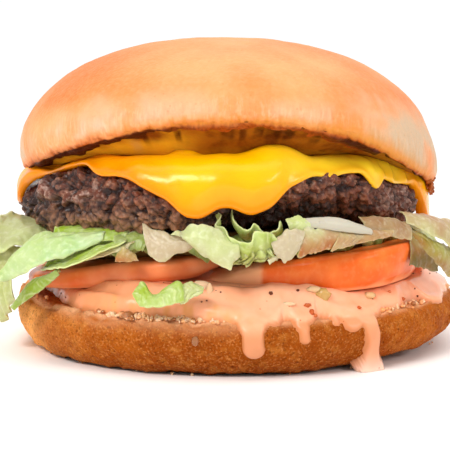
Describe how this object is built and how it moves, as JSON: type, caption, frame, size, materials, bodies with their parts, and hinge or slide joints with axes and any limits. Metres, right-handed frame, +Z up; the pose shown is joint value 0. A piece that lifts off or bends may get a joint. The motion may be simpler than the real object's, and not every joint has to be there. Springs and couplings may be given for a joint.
{
  "type": "cheeseburger",
  "caption": "Stacked cheeseburger: toasted bun, pink sauce running over the heel, tomato slices, torn iceberg lettuce, beef patty and a melted cheese slice that hangs over the front.",
  "frame": {"origin": "middle of the underside of the whole burger's box, on the surface that it stands on", "axes": "+Z up through the stack, -Y to the front where the corner of the cheese hangs, +X to the right seen from the front"},
  "size_m": [0.1244, 0.1162, 0.0767],
  "materials": {
    "baked_bun_crown": "baked golden crust with a pale lower band and a dark toasted rim",
    "toasted_bun_heel": "browned, finely pored crust",
    "pink_sauce": "wet, smooth, slightly translucent",
    "tomato": "wet skin and flesh",
    "iceberg_lettuce": "crisp, waxy, translucent, white at the ribs",
    "grilled_beef": "coarse, browned, moist with fat",
    "melted_cheese": "smooth and softly glossy"
  },
  "bodies": {
    "root": {"bun_heel": "toasted_bun_heel", "sauce": "pink_sauce", "tomato_slice_left": "tomato", "tomato_slice_right": "tomato", "lettuce_heap": "iceberg_lettuce", "lettuce_leaf_left": "iceberg_lettuce", "lettuce_leaf_far_left": "iceberg_lettuce", "lettuce_leaf_right": "iceberg_lettuce", "lettuce_scrap_left": "iceberg_lettuce", "lettuce_scrap_front": "iceberg_lettuce", "patty": "grilled_beef", "cheese_slice": "melted_cheese", "bun_crown": "baked_bun_crown"}
  },
  "joints": []
}
